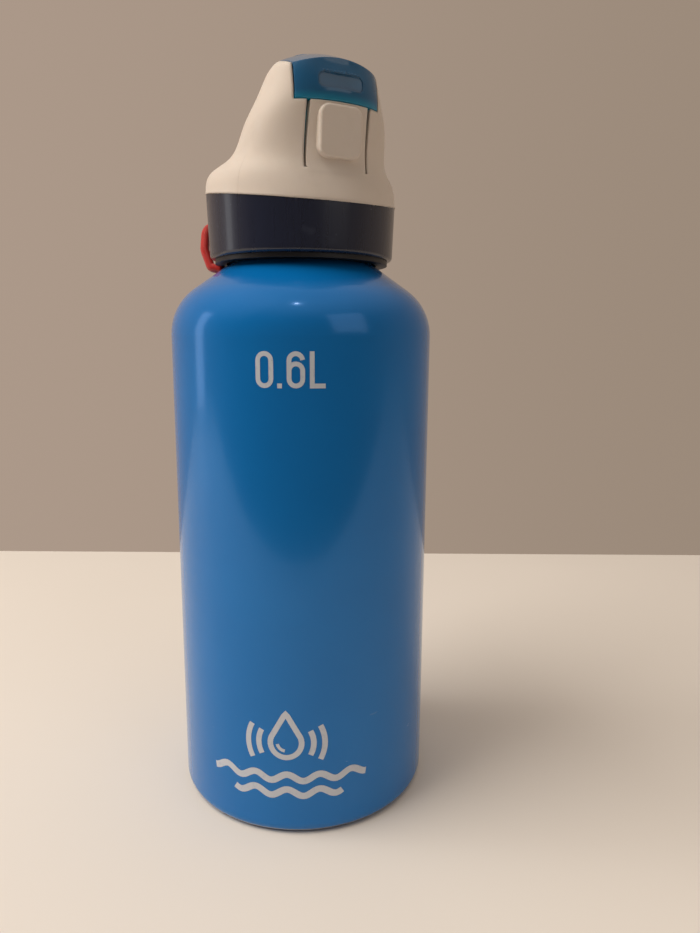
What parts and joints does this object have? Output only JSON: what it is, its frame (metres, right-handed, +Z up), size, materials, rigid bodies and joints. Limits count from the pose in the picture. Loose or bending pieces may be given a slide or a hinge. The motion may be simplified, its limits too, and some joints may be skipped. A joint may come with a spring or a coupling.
{
  "type": "water bottle",
  "caption": "Steel water bottle with a screw cap, a domed cover and a flip lid that a push tongue releases from a soft spout; a carry loop is held under the collar.",
  "frame": {"origin": "centre of the base, on the surface the bottle stands on", "axes": "+Z up along the bottle's axis; -Y is the cap's front, where the push tongue is; the lid's hinge runs along X"},
  "size_m": [0.073, 0.073, 0.2035],
  "materials": {
    "body_paint": "glossy blue lacquer on steel",
    "silicone": "matt translucent silicone",
    "core_plastic": "satin black plastic",
    "collar_plastic": "glossy navy plastic with a fine vertical grain",
    "loop_rubber": "smooth red soft rubber",
    "dome_plastic": "warm white satin plastic",
    "lid_plastic": "glossy dark blue translucent plastic",
    "steel": "drawn steel wire"
  },
  "bodies": {
    "bottle": {"bottle_shell": "body_paint"},
    "seal_carrier": {"neck_seal": "silicone"},
    "cap": {"cap_core": "core_plastic", "collar": "collar_plastic", "spout_base": "core_plastic", "mouthpiece": "silicone", "spout_ring": "core_plastic", "vent_valve": "silicone", "carry_loop": "loop_rubber", "dome_cover": "dome_plastic", "lid_pin": "steel", "lid_spring": "steel"},
    "lid": {"flip_lid": "lid_plastic", "lid_plug": "silicone"},
    "tongue": {"push_tongue": "dome_plastic"}
  },
  "joints": [
    {"name": "cap_lift", "type": "slide", "parent": "bottle", "child": "seal_carrier", "axis": [0, 0, 1], "range_m": [0, 0.00721]},
    {"name": "cap_turn", "type": "hinge", "parent": "seal_carrier", "child": "cap", "pos_m": [0, 0, 0.162], "axis": [0, 0, 1], "range_deg": [0, 810]},
    {"name": "lid_hinge", "type": "hinge", "parent": "cap", "child": "lid", "pos_m": [0, 0.0066, 0.18959], "axis": [-1, 0, 0], "range_deg": [0, 110]},
    {"name": "tongue_press", "type": "hinge", "parent": "cap", "child": "tongue", "pos_m": [0, -0.0238, 0.17359], "axis": [-1, 0, 0], "range_deg": [0, 4.5], "stiffness_Nm_per_rad": 0.05}
  ],
  "couplings": [
    {"joint": "cap_lift", "follows": "cap_turn", "m_per_rad": 0.0005093}
  ]
}
